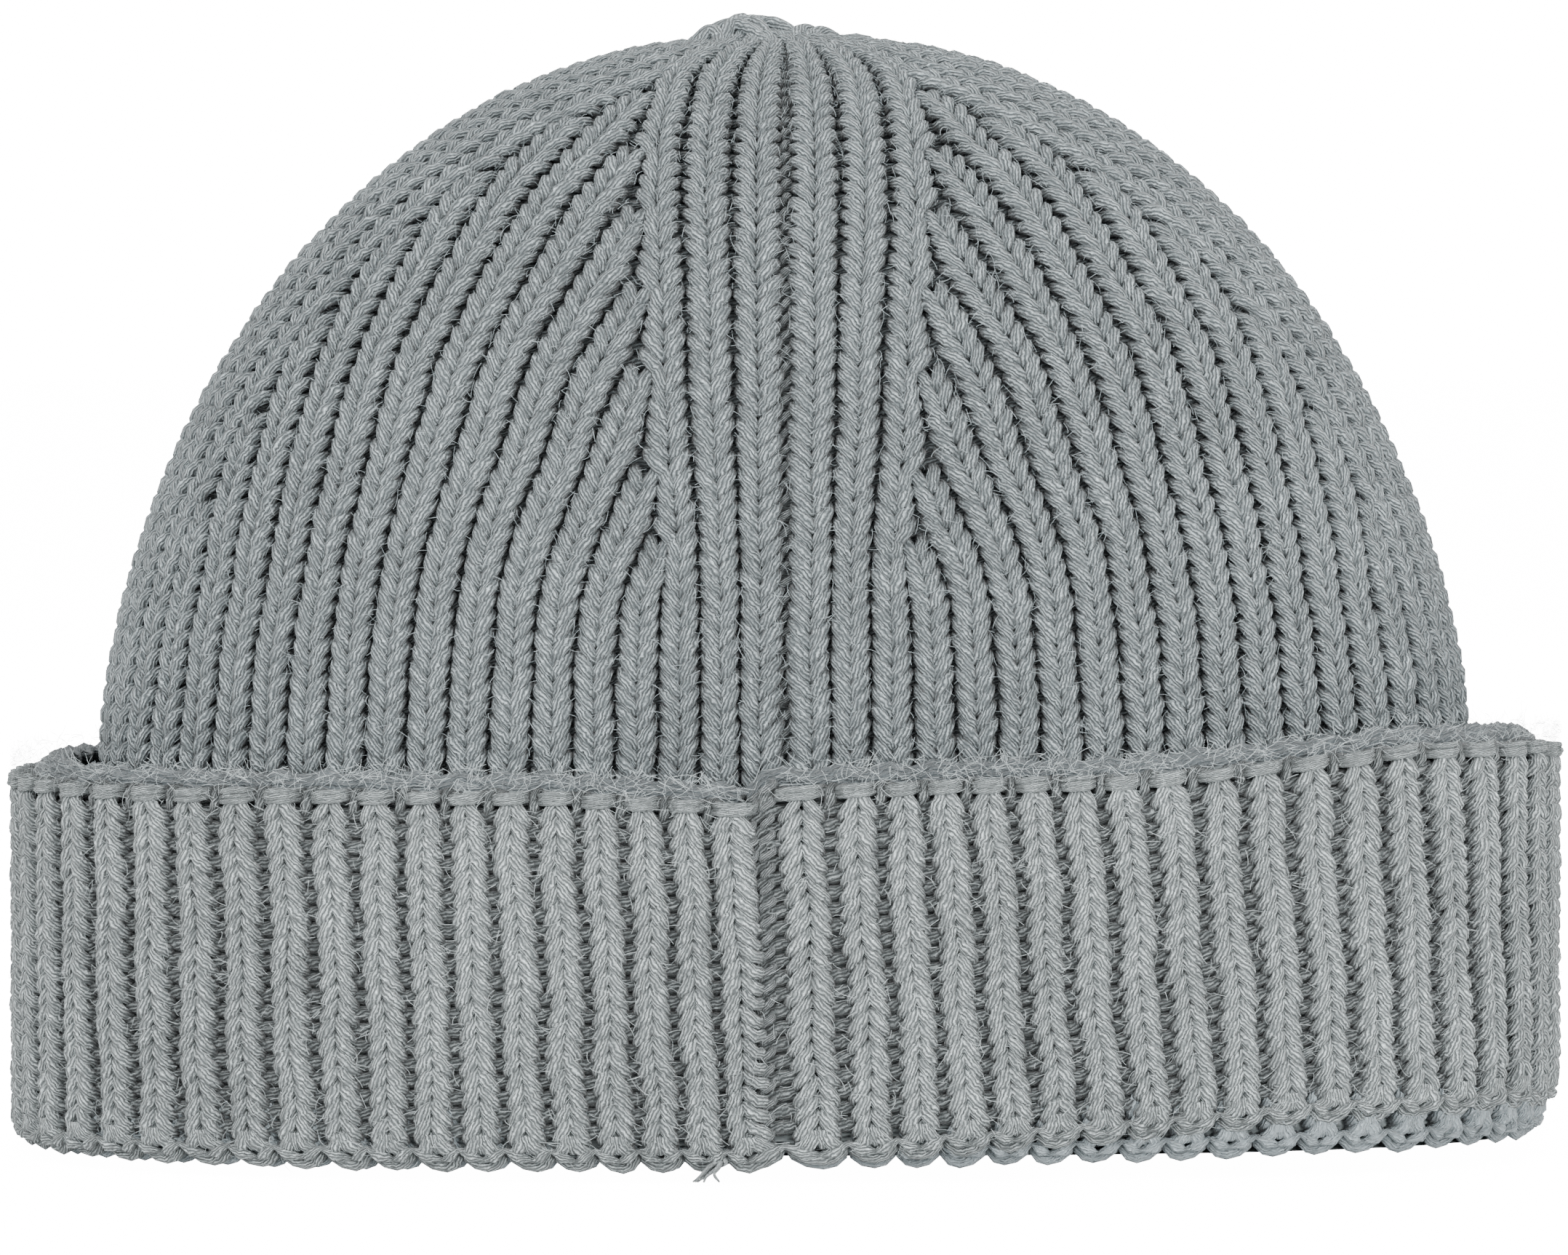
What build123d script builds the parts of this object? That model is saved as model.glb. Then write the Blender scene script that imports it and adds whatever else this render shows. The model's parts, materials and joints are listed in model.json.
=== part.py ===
from build123d import *
import math
import os

# A chunky rib-knit beanie that stands on its folded brim, lightly filled, with a deep turned-up cuff.
# Frame: +Z up through the crown, +X to the wearer's side, the centre-back seam on -Y, and the floor at Z = 0.
# Units are millimetres.

# Driving dimensions
CUFF_WIDTH = 230.0  # over the turned-up cuff at the floor
CUFF_DEPTH = 118.0
CUFF_HEIGHT = 57.0  # to the top of the cast-on edge
CUFF_FABRIC = 7.0  # one layer of the turned-up rib
EDGE_INSET = 1.6  # how far the cast-on edge lies inside the cuff's outer face
BODY_WIDTH = 204.0  # over the body where it comes out of the cuff
BODY_DEPTH = 100.0
BODY_FABRIC = 5.0
CROWN_HEIGHT = 166.0  # where the dome's curve closes
CROWN_CUT = 0.985  # share of the dome's height where the last course stops
CROWN_SPLIT = 125.0  # between the crown's steep sides and its top
EDGE_HEIGHT = 3.6  # the cast-on edge
FOLD_HEIGHT = 4.0  # the turning courses at the bottom
SEAM_WIDTH = 4.0
SEAM_THICKNESS = 2.4
GATHER_RISE = 3.4  # the gathered crown above the last course

# Clearances
FLOOR_GAP = 0.3  # under the fold, so that the cuff carries the hat
LAYER_GAP = 0.6  # between the fold and the cast-on edge that passes outside it
JOIN_GAP = 0.4  # between the cuff and its cast-on edge
SEAM_GAP = 0.2

# Shape of the sections and of the dome's two outlines, as superellipse exponents
SECTION_POWER = 2.8
SIDE_POWERS = (1.75, 2.2)  # height, width
FRONT_POWERS = (3.2, 2.4)  # height, depth
SECTION_POINTS = 40
DOME_STEPS = (0.16, 0.32, 0.47, 0.6, 0.71, 0.8, 0.87, 0.92, 0.96)

# Worked out from these
CUFF_HALF = (CUFF_WIDTH / 2, CUFF_DEPTH / 2)
CUFF_INNER = (CUFF_HALF[0] - CUFF_FABRIC, CUFF_HALF[1] - CUFF_FABRIC)
EDGE_HALF = (CUFF_HALF[0] - EDGE_INSET, CUFF_HALF[1] - EDGE_INSET)
BODY_HALF = (BODY_WIDTH / 2, BODY_DEPTH / 2)
BODY_INNER = (BODY_HALF[0] - BODY_FABRIC, BODY_HALF[1] - BODY_FABRIC)
FOLD_OUTER = (CUFF_INNER[0] - LAYER_GAP, CUFF_INNER[1] - LAYER_GAP)
EDGE_BOTTOM = CUFF_HEIGHT - EDGE_HEIGHT
FOLD_TOP = FLOOR_GAP + FOLD_HEIGHT
LAST_COURSE = CUFF_HEIGHT + (CROWN_HEIGHT - CUFF_HEIGHT) * CROWN_CUT

# The gather: a low knob with a stem that the draw thread pulls tight
STEM_RADIUS = 5.0
EYE_RADIUS = 7.4  # the hole that the last course leaves
THREAD_RADIUS = 0.9
TAIL_RADIUS = 1.1
TAIL_LENGTH = 12.0


def section(half, z):
    """A flat superellipse face at height z, from its half width and half depth."""
    points = []
    for k in range(SECTION_POINTS):
        angle = 2 * math.pi * (k + 0.5) / SECTION_POINTS
        c, s = math.cos(angle), math.sin(angle)
        x = half[0] * math.copysign(abs(c) ** (2 / SECTION_POWER), c)
        y = half[1] * math.copysign(abs(s) ** (2 / SECTION_POWER), s)
        points.append((x, y))
    return Pos(0, 0, z) * make_face(Spline(*points, periodic=True))


def prism(half, low, high):
    return extrude(section(half, low), amount=high - low, dir=(0, 0, 1))


def dome_half(step, half):
    """Half width and half depth of the dome at a share of its height."""
    across = (1 - step ** SIDE_POWERS[0]) ** (1 / SIDE_POWERS[1])
    through = (1 - step ** FRONT_POWERS[0]) ** (1 / FRONT_POWERS[1])
    return half[0] * across, half[1] * through


def wall_solid(inset):
    """Everything inside the body's straight wall, its outer face moved in by inset."""
    return prism((BODY_HALF[0] - inset, BODY_HALF[1] - inset), FOLD_TOP, CUFF_HEIGHT)


def dome_solid(inset):
    """Everything inside the crown's dome, its outer face moved in by inset."""
    half = (BODY_HALF[0] - inset, BODY_HALF[1] - inset)
    rise = CROWN_HEIGHT - inset - CUFF_HEIGHT
    levels = [section(half, CUFF_HEIGHT)]
    for step in (*DOME_STEPS, CROWN_CUT):
        levels.append(section(dome_half(step, half), CUFF_HEIGHT + rise * step))
    return loft(levels)


def make_body_wall():
    """The body behind the cuff, from the fold up to where the hat comes out of the cuff."""
    return wall_solid(0) - wall_solid(BODY_FABRIC)


def crown_between(low, high):
    """The dome's shell between two heights, with the eye that the last course leaves at the top."""
    eye = Pos(0, 0, LAST_COURSE) * Cylinder(EYE_RADIUS, 6 * BODY_FABRIC)
    slab = Pos(0, 0, (low + high) / 2) * Box(2 * BODY_WIDTH, 2 * BODY_DEPTH, high - low)
    return (dome_solid(0) - dome_solid(BODY_FABRIC) - eye) & slab


def make_crown_sides():
    """The dome's steep sides, where the wedges start to narrow."""
    return crown_between(CUFF_HEIGHT, CROWN_SPLIT)


def make_crown_top():
    """The top of the dome, up to its last course."""
    return crown_between(CROWN_SPLIT, CROWN_HEIGHT)


def make_fold():
    """The turning courses that join the body to the cuff at the bottom."""
    return prism(FOLD_OUTER, FLOOR_GAP, FOLD_TOP) - prism(BODY_INNER, FLOOR_GAP, FOLD_TOP)


def make_cuff():
    """The turned-up layer."""
    height = EDGE_BOTTOM - JOIN_GAP
    return prism(CUFF_HALF, 0, height) - prism(CUFF_INNER, 0, height)


def make_cast_on_edge():
    """The first row of the knitting, along the top of the cuff."""
    return prism(EDGE_HALF, EDGE_BOTTOM, CUFF_HEIGHT) - prism(CUFF_INNER, EDGE_BOTTOM, CUFF_HEIGHT)


def make_body_seam():
    """The seam's ridge inside the body, up the centre back and over into the crown."""
    near = BODY_FABRIC + SEAM_GAP
    far = near + SEAM_THICKNESS
    ridge = (wall_solid(near) - wall_solid(far)) + (dome_solid(near) - dome_solid(far))
    reach = BODY_HALF[1]
    height = CROWN_HEIGHT - FOLD_TOP
    strip = Box(SEAM_WIDTH, reach - EYE_RADIUS, height)
    place = Pos(0, -(reach + EYE_RADIUS) / 2, FOLD_TOP + height / 2)
    return ridge & (place * strip)


def make_cuff_seam():
    """The same seam where it runs on behind the turned-up layer, between it and the body."""
    inner = BODY_HALF[1] + SEAM_GAP
    thickness = FOLD_OUTER[1] - inner
    height = EDGE_BOTTOM - FOLD_TOP - 2 * JOIN_GAP
    strip = Box(SEAM_WIDTH, thickness, height)
    return Pos(0, -inner - thickness / 2, FOLD_TOP + JOIN_GAP + height / 2) * strip


def make_gather():
    """The last course drawn together: a low cushion on the dome, and the stem in its eye."""
    half = dome_half(CROWN_CUT, BODY_HALF)
    cushion = prism(half, LAST_COURSE, LAST_COURSE + GATHER_RISE)
    rim = cushion.faces().sort_by(Axis.Z)[-1].edges()
    cushion = fillet(rim, GATHER_RISE * 0.75)
    stem = Pos(0, 0, LAST_COURSE - BODY_FABRIC / 2) * Cylinder(STEM_RADIUS, BODY_FABRIC)
    return cushion + stem


def make_draw_thread():
    """The thread through the last loops, round the stem of the gather."""
    middle = (STEM_RADIUS + EYE_RADIUS) / 2
    return Pos(0, 0, LAST_COURSE - BODY_FABRIC / 2) * Torus(middle, THREAD_RADIUS)


def make_tail():
    """The seam yarn's tail, lying just inside the bottom of the seam."""
    behind = BODY_INNER[1] - TAIL_RADIUS - SEAM_GAP
    place = Pos(0, -behind, FLOOR_GAP + TAIL_RADIUS) * Rot(0, 90, 0)
    return place * Cylinder(TAIL_RADIUS, TAIL_LENGTH)


NODES = {
    "body_wall": make_body_wall,
    "crown_sides": make_crown_sides,
    "crown_top": make_crown_top,
    "fold_ridge": make_fold,
    "cuff": make_cuff,
    "cast_on_edge": make_cast_on_edge,
    "back_seam_body": make_body_seam,
    "back_seam_cuff": make_cuff_seam,
    "crown_gather": make_gather,
    "crown_draw_thread": make_draw_thread,
    "seam_yarn_tail": make_tail,
}

os.makedirs("parts", exist_ok=True)
for name, make in NODES.items():
    export_step(make(), f"parts/{name}.step")
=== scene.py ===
import json
import math

import bpy
import numpy as np
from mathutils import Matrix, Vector


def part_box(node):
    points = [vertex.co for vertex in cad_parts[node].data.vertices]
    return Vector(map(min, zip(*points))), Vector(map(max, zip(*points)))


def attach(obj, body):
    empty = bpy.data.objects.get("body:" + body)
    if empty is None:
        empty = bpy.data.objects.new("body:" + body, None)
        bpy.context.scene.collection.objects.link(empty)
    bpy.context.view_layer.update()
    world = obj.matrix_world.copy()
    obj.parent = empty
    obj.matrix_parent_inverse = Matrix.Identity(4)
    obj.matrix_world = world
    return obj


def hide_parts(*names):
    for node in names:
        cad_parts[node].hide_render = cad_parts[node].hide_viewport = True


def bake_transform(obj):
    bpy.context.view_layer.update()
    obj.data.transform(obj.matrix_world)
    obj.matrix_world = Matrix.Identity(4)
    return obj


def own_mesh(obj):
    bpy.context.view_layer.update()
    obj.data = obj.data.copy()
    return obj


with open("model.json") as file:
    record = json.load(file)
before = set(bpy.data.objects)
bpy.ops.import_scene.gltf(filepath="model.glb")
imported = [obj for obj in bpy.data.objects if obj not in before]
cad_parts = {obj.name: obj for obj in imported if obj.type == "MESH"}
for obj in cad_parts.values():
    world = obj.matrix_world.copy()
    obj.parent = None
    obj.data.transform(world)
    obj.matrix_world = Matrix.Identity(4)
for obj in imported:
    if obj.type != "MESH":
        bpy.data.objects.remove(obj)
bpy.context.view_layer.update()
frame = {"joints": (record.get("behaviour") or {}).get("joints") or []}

# A chunky 1x1 rib beanie, knitted stitch by stitch: every course is one yarn that loops through the last.
# Everything is in metres, in the CAD's frame: the back seam is on -Y, and the hat stands on Z = 0.

MM = 0.001

# The fabric
RIBS = 84
QUARTER = RIBS // 4
CENTRE_BAND = 3  # ribs between the seam and the fashioned wedge, on each side
SIDE_BAND = 5  # ribs between the wedge and the hat's side
WEDGE = QUARTER - CENTRE_BAND - SIDE_BAND
WALL_COURSES = 21  # courses of the body behind the cuff
DOME_COURSES = 50
CUFF_COURSES = 21
GATHER_COURSES = 4  # drawn together at the top
GATHER_EYE = 0.16  # what is left of the last course's ring
GATHER_RISE = 2.2 * MM
GATHER_SHIFT = -5.0 * MM  # the knob sits a little to one side
CENTRE_ENDS = (13.5, 18, 24, 28.5, 33.5, 38, 43)  # courses where a rib ends against the centre band
SIDE_ENDS = (13.5, 19, 24.5, 30.5, 35, 40, 45)  # and against the side band

# The yarn
YARN_RADIUS = 1.06 * MM
CREST = 1.8 * MM  # how far the knit stands out from the fabric's middle surface
SIDES = 6  # of a yarn's tube
THICKNESS_SPREAD = 0.05  # of the yarn, from rib to rib, as a share
STRAY = (0.02, 0.05, 0.1 * MM)  # how far a stitch strays across (pitches), up (courses) and out
UNDER_DEPTH = 1.6 * MM  # how deep a rib lies when it has gone under a band
MAP_START = 50  # each yarn's map starts within this many millimetres

# The hat's form, as in the CAD: superellipse sections, and the dome's two outlines
SECTION_POWER = 2.8
SIDE_POWERS = (1.75, 2.2)
FRONT_POWERS = (3.2, 2.4)
CROWN_HEIGHT = 166 * MM
CROWN_CUT = 0.985

rng = np.random.default_rng(11)


def evenly(half_x, half_y, count):
    """Points spaced evenly along a superellipse, from the back seam round by +X."""
    angle = np.linspace(0, 2 * np.pi, 2881)
    s, c = np.sin(angle), -np.cos(angle)
    x = half_x * np.sign(s) * np.abs(s) ** (2 / SECTION_POWER)
    y = half_y * np.sign(c) * np.abs(c) ** (2 / SECTION_POWER)
    length = np.concatenate([[0], np.cumsum(np.hypot(np.diff(x), np.diff(y)))])
    even = np.linspace(0, length[-1], count, endpoint=False)
    return np.interp(even, length, x), np.interp(even, length, y)


class Fabric:
    """A surface of the hat, by place round it (0 to 1 from the back seam, by +X) and course."""

    ROUND = 672

    def __init__(self, courses, grid, inset=CREST):
        self.courses = np.asarray(courses, float)
        self.grid = grid - inset * self.find_normals(grid)
        self.normals = self.find_normals(self.grid)

    @classmethod
    def sections(cls, half_x, half_y, z):
        """Superellipse sections stacked at heights z, as a grid."""
        grid = np.zeros((len(z), cls.ROUND, 3))
        for k in range(len(z)):
            grid[k, :, 0], grid[k, :, 1] = evenly(half_x[k], half_y[k], cls.ROUND)
            grid[k, :, 2] = z[k]
        return grid

    @staticmethod
    def find_normals(grid):
        across = np.roll(grid, -1, axis=1) - np.roll(grid, 1, axis=1)
        up = np.gradient(grid, axis=0)
        normal = np.cross(across, up)
        return normal / np.maximum(np.linalg.norm(normal, axis=2, keepdims=True), 1e-12)

    def look_up(self, table, place, course):
        column = np.mod(place, 1.0) * self.ROUND
        left = np.floor(column).astype(int)
        share = (column - left)[..., None]
        left = left % self.ROUND
        right = (left + 1) % self.ROUND
        level = np.interp(course, self.courses, np.arange(len(self.courses)))
        low = np.clip(np.floor(level).astype(int), 0, len(self.courses) - 2)
        rise = (level - low)[..., None]
        below = table[low, left] * (1 - share) + table[low, right] * share
        above = table[low + 1, left] * (1 - share) + table[low + 1, right] * share
        return below * (1 - rise) + above * rise

    def point(self, place, course, out):
        """Points at a distance out from the fabric's middle surface."""
        normal = self.look_up(self.normals, place, course)
        normal = normal / np.linalg.norm(normal, axis=-1, keepdims=True)
        return self.look_up(self.grid, place, course) + normal * np.asarray(out)[..., None]


# Half of one knit stitch of the rib: across in rib pitches, up in courses, out in millimetres. The yarn
# crosses the gap low, comes out through the stitch below, rises as a leg of the V, and goes over behind the
# next course.
HALF_STITCH = np.array([
    (-0.50, -0.05, -2.3),
    (-0.30, -0.12, -2.1),
    (-0.13, 0.00, -1.1),
    (-0.08, 0.22, 0.0),
    (-0.16, 0.57, 0.65),
    (-0.26, 0.92, 0.75),
    (-0.35, 1.24, 0.3),
    (-0.40, 1.48, -0.9),
    (-0.28, 1.65, -2.0),
])
TOP_OF_STITCH = np.array([(0.0, 1.60, -2.2)])
KNIT_PATH = np.vstack([HALF_STITCH, TOP_OF_STITCH, HALF_STITCH[:0:-1] * (-1, 1, 1)])
REPEAT = np.array((6.1, 2.65, 1.0))  # millimetres to one unit across, up and out


def carried_sides(path):
    """A side direction at each point of one repeat, carried along without twist and evened out over it."""
    scaled = np.vstack([path, path[:1] + (1, 0, 0)]) * REPEAT
    ahead = np.vstack([scaled[1:], scaled[1:2] + (REPEAT[0], 0, 0)])
    behind = np.vstack([scaled[-2:-1] - (REPEAT[0], 0, 0), scaled[:-1]])
    tangents = ahead - behind
    tangents /= np.linalg.norm(tangents, axis=1, keepdims=True)
    side = np.array((0.0, 1.0, 0.0))
    sides = []
    for tangent in tangents:
        side = side - tangent * (side @ tangent)
        side /= np.linalg.norm(side)
        sides.append(side)
    first, last, tangent = sides[0], sides[-1], tangents[-1]
    turn = math.atan2(np.cross(last, first) @ tangent, last @ first)
    even = []
    for k, (side, tangent) in enumerate(zip(sides, tangents)):
        angle = turn * k / (len(sides) - 1)
        even.append(side * math.cos(angle) + np.cross(tangent, side) * math.sin(angle))
    return np.array(even[:-1])


class Stitch:
    """A repeat of yarn over one rib. Its points are in rib pitches across, courses up, millimetres out."""

    def __init__(self, path, thickness=None):
        self.path = np.array(path, float)
        self.sides = carried_sides(self.path)
        self.thickness = np.ones(len(self.path)) if thickness is None else np.array(thickness, float)


BRIDGE = 0.45  # past this far across, the yarn bridges the gap between two ribs
OPEN_DEPTH = -1.4  # where the rib is stretched open, its yarn runs no deeper than this, in millimetres

KNIT = Stitch(KNIT_PATH)
OPEN_KNIT = Stitch(np.column_stack([KNIT_PATH[:, :2], np.maximum(KNIT_PATH[:, 2], OPEN_DEPTH)]),
                   np.where(np.abs(KNIT_PATH[:, 0]) > BRIDGE, 1.1, 1.0))


def grid_quads(rows, columns, closed=False):
    """Faces of a grid whose rows close on themselves; closed joins the last row to the first as well."""
    i = np.arange(rows if closed else rows - 1)[:, None]
    j = np.arange(columns)[None]
    ahead, beside = (i + 1) % rows * columns, (j + 1) % columns
    return np.stack([i * columns + j, i * columns + beside, ahead + beside, ahead + j], -1)


class Yarns:
    """Tubes of yarn gathered into one mesh, with a map along and round the yarn."""

    def __init__(self):
        self.points, self.quads, self.maps, self.heights, self.count = [], [], [], [], 0

    def add(self, path, side, radius, closed=False, sides=SIDES, lie=None):
        """A tube along path; side is a rough direction across it at each point.

        lie is how far out of the fabric the path runs and which way is out, where the yarn lies in a fabric.
        """
        n = len(path)
        if closed:
            tangent = np.roll(path, -1, axis=0) - np.roll(path, 1, axis=0)
        else:
            tangent = np.gradient(path, axis=0)
        tangent /= np.maximum(np.linalg.norm(tangent, axis=1, keepdims=True), 1e-12)
        across = side - tangent * np.sum(side * tangent, axis=1, keepdims=True)
        across /= np.maximum(np.linalg.norm(across, axis=1, keepdims=True), 1e-12)
        other = np.cross(tangent, across)
        angle = np.arange(sides) * 2 * np.pi / sides
        radius = np.broadcast_to(radius, (n,))[:, None, None]
        ring = across[:, None] * np.cos(angle)[None, :, None] + other[:, None] * np.sin(angle)[None, :, None]
        self.points.append((path[:, None] + ring * radius).reshape(-1, 3))
        # the height of each point out of the fabric, which the yarn's material turns into painted shade and
        # light; a yarn in no fabric counts as at the crest
        if lie is None:
            height = np.full((n, sides), CREST)
        else:
            height = lie[0][:, None] + np.sum(ring * radius * lie[1][:, None], axis=2)
        self.heights.append(height.ravel() / MM)
        self.quads.append(grid_quads(n, sides, closed).reshape(-1, 4) + self.count)
        rows = n if closed else n - 1
        j = np.arange(sides)
        step = np.linalg.norm(np.diff(np.vstack([path, path[:1]]), axis=0), axis=1)
        along = np.concatenate([[0], np.cumsum(step)]) / MM
        along += rng.uniform(0, MAP_START)
        low, high = along[:rows], along[1:rows + 1]
        u = np.stack([low, low, high, high], -1)[:, None]
        v = np.stack([j, j + 1, j + 1, j], -1)[None] / sides
        self.maps.append(np.stack(np.broadcast_arrays(u, v), -1).reshape(-1, 2))
        self.count += n * sides

    def build(self, name, material):
        piece = make_mesh(name, np.vstack(self.points), np.vstack(self.quads), material)
        layer = piece.data.uv_layers.new(name="yarn")
        layer.data.foreach_set("uv", np.vstack(self.maps).astype(np.float32).ravel())
        # the heights, which the yarn's material reads for its painted shade
        height = piece.data.attributes.new("height", "FLOAT", "POINT")
        height.data.foreach_set("value", np.concatenate(self.heights).astype(np.float32))
        return piece


def make_mesh(name, points, quads, material):
    mesh = bpy.data.meshes.new(name)
    mesh.vertices.add(len(points))
    mesh.vertices.foreach_set("co", np.asarray(points, np.float32).ravel())
    mesh.loops.add(quads.size)
    mesh.loops.foreach_set("vertex_index", quads.astype(np.int32).ravel())
    mesh.polygons.add(len(quads))
    mesh.polygons.foreach_set("loop_start", np.arange(0, quads.size, 4, dtype=np.int32))
    mesh.update(calc_edges=True)
    mesh.polygons.foreach_set("use_smooth", np.ones(len(quads), bool))
    mesh.materials.append(material)
    piece = bpy.data.objects.new(name, mesh)
    bpy.context.scene.collection.objects.link(piece)
    return piece


# Where the ribs run

SEAM_GROOVE = 0.006  # how far the seam pushes its two ribs apart, as a share of a quarter
GROOVE_FADE = 1.2  # and how fast that fades from rib to rib
FADE_IN, FADE_OUT = 3, 2.5  # courses before the first rib ends, and after the last
UNDER_ROOM = 0.45  # a rib with less room than this, in ribs, goes under the band
WAVES = ((0.6, 0.5), (0.4, 1.15))  # of a rib's wobble: height, and radians to a course
BODY_WOBBLE, CUFF_WOBBLE = 0.0005, 0.0008  # as shares of the way round


def ended(course, ends):
    """How many ribs of a wedge have ended against a band by a course, as a running number."""
    courses = [ends[0] - FADE_IN, *ends, ends[-1] + FADE_OUT]
    counts = [0, *(k + 0.5 for k in range(len(ends))), len(ends)]
    return np.interp(course, courses, counts)


def by_quarter(rib):
    """The quarter that a rib is in, and how many ribs lie between it and that quarter's centre line."""
    quarter, k = rib // QUARTER, rib % QUARTER
    return quarter, np.where(quarter % 2 == 0, k, QUARTER - 1 - k)


def quarter_place(rib, course):
    """Where a rib runs, as a share of a quarter of the way round, counted from the centre line."""
    by_centre, by_side = ended(course, CENTRE_ENDS), ended(course, SIDE_ENDS)
    left = QUARTER - by_centre - by_side
    shift = np.where(rib >= CENTRE_BAND, by_centre, 0) + np.where(rib >= CENTRE_BAND + WEDGE, by_side, 0)
    return (rib + 0.5 - shift) / left


WAVE_PHASES = rng.uniform(0, 2 * np.pi, (len(WAVES), RIBS))


def wobble(rib, course):
    """How far a rib, which never runs quite straight, is to one side, from -1 to 1."""
    waves = (height * np.sin(rate * course + phase[rib]) for (height, rate), phase in zip(WAVES, WAVE_PHASES))
    return sum(waves)


def dome_place(rib, course):
    """Where any of the ribs runs on the body and crown, as a share of the way round."""
    quarter, k = by_quarter(rib)
    share = quarter_place(k, course)
    by_seam = (quarter == 0) | (quarter == 3)
    share = share + np.where(by_seam, SEAM_GROOVE * np.exp(-GROOVE_FADE * k), 0)
    straight = np.where(quarter % 2 == 0, quarter + share, quarter + 1 - share) / 4
    return straight + BODY_WOBBLE * wobble(rib, course)


def ribs_at(course):
    """The ribs that are still there at a course, and how far each has gone under a band, from 0 to 1."""
    rib = np.arange(RIBS)
    k = by_quarter(rib)[1]
    in_wedge = (k >= CENTRE_BAND) & (k < CENTRE_BAND + WEDGE)
    from_centre = k - CENTRE_BAND + 0.5 - ended(course, CENTRE_ENDS)
    from_side = WEDGE - (k - CENTRE_BAND) - 0.5 - ended(course, SIDE_ENDS)
    room = np.where(in_wedge, np.minimum(from_centre, from_side), 1)
    under = np.clip((UNDER_ROOM - room) / UNDER_ROOM, 0, 1)
    return rib[room > 0], under[room > 0]


# The cuff's seam lies a little off centre, and the turned-up layer has slipped up and round on one side. The
# lifts and the lean are in metres, each against a share of the way round from the seam.
CUFF_SEAM = -0.0065  # as a share of the way round
CUFF_GIRTH = 586 * MM
SEAM_ALLOWANCE = (2.2, 1.2)  # purl left on each side of the seam, in millimetres
CUFF_PITCH = 5.95  # of the ribs next to the centre, in millimetres
PITCH_GROWTH, GROWING_RIBS = 0.008, 12  # how the pitch grows from there, and over how many ribs
WIDER_RIBS = ((0, 1.3), (1, 1.15), (-1, 0.92))  # by the seam, and by how much
LIFT_AT_FOOT = ((0, 0.02, 0.14, 0.2, 0.25, 0.4, 1), (0.0005, 0.001, 0.0062, 0.0064, 0.005, 0, 0))
LIFT_AT_TOP = ((0, 0.05, 0.09, 0.165, 0.21, 0.25, 0.4, 0.75, 0.95, 1),
               (-0.0003, 0.0009, 0.0013, 0.0052, 0.0048, 0.003, -0.0004, -0.0009, -0.0009, -0.0026))
LEAN = ((0, 0.12, 0.22, 0.3, 0.7, 0.8, 0.9, 1), (0.0025, 0.0045, 0.0025, 0, 0, 0.001, 0.002, 0.0025))


def cuff_rib_places():
    """The middle of each rib of the cuff: closer near the centre, and a wide rib just past the seam."""
    near = CUFF_PITCH + PITCH_GROWTH * np.minimum(np.arange(QUARTER), GROWING_RIBS) ** 2
    widths = np.concatenate([near, near[::-1], near, near[::-1]])
    for rib, wider in WIDER_RIBS:
        widths[rib] *= wider
    edges = SEAM_ALLOWANCE[0] + np.concatenate([[0], np.cumsum(widths)])
    return (edges[1:] + edges[:-1]) / 2 / (edges[-1] + SEAM_ALLOWANCE[1]) + CUFF_SEAM


CUFF_RIB_PLACES = cuff_rib_places()


def from_seam(place):
    return np.mod(place - CUFF_SEAM, 1.0)


def cuff_place(rib, course):
    """Where a rib runs on the cuff. The foot has slipped sideways a little, so the ribs lean."""
    place = CUFF_RIB_PLACES[rib] + 0 * course
    lean = np.interp(from_seam(place), *LEAN) / CUFF_GIRTH
    return place + lean * (1 - course / CUFF_COURSES) + CUFF_WOBBLE * wobble(rib, course)


def spread_ribs(place_of, ribs, across, course):
    """Places at a share of a pitch across from each rib's middle, halfway to its neighbours at 0.5."""
    count = len(ribs)
    middle = place_of(ribs[:, None], course)
    left = place_of(np.roll(ribs, 1)[:, None], course) - (np.arange(count) == 0)[:, None]
    right = place_of(np.roll(ribs, -1)[:, None], course) + (np.arange(count) == count - 1)[:, None]
    return middle + np.where(across < 0, -across * (left - middle), across * (right - middle))


def directions(fabric, place, course, out, upward=1):
    """Unit vectors round, up and out at points of a fabric."""
    round_step, course_step = 0.0005, 0.1
    around = fabric.point(place + round_step, course, out) - fabric.point(place - round_step, course, out)
    upwards = fabric.point(place, course + course_step, out) - fabric.point(place, course - course_step, out)
    around /= np.linalg.norm(around, axis=-1, keepdims=True)
    upwards *= upward / np.linalg.norm(upwards, axis=-1, keepdims=True)
    return around, upwards, np.cross(around, upwards) * upward


def knit_course(yarns, fabric, place_of, course, ribs, under=0, upward=1, spread=1.0, radius=YARN_RADIUS,
                stitch=KNIT):
    """One course of the rib, as one closed loop of yarn. upward is -1 where the knitting runs down."""
    count, steps = len(ribs), len(stitch.path)
    u, v, w = stitch.path.T
    under = np.broadcast_to(under, (count,))[:, None]
    grow = np.sin(np.pi * np.arange(steps) / steps) ** 2
    jitter = rng.normal(0, 1, (count, 3))
    at = course + upward * (v[None] + STRAY[1] * jitter[:, 1:2] * grow)
    legs = np.where(np.abs(u) < BRIDGE, spread, 1.0) * u + STRAY[0] * jitter[:, :1] * grow
    place = spread_ribs(place_of, ribs, legs, at)
    out = (w * MM)[None] + STRAY[2] * jitter[:, 2:] * grow - UNDER_DEPTH * under * grow
    path = fabric.point(place, at, out)
    around, upwards, outwards = directions(fabric, place, at, out, upward)
    side = (stitch.sides[None, :, :1] * around + stitch.sides[None, :, 1:2] * upwards
            + stitch.sides[None, :, 2:] * outwards)
    thick = radius * (1 + THICKNESS_SPREAD * rng.normal(0, 1, (count, 1))) * stitch.thickness[None]
    yarns.add(path.reshape(-1, 3), side.reshape(-1, 3), thick.ravel(), closed=True,
              lie=(out.ravel(), outwards.reshape(-1, 3)))


# The body and crown

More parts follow.
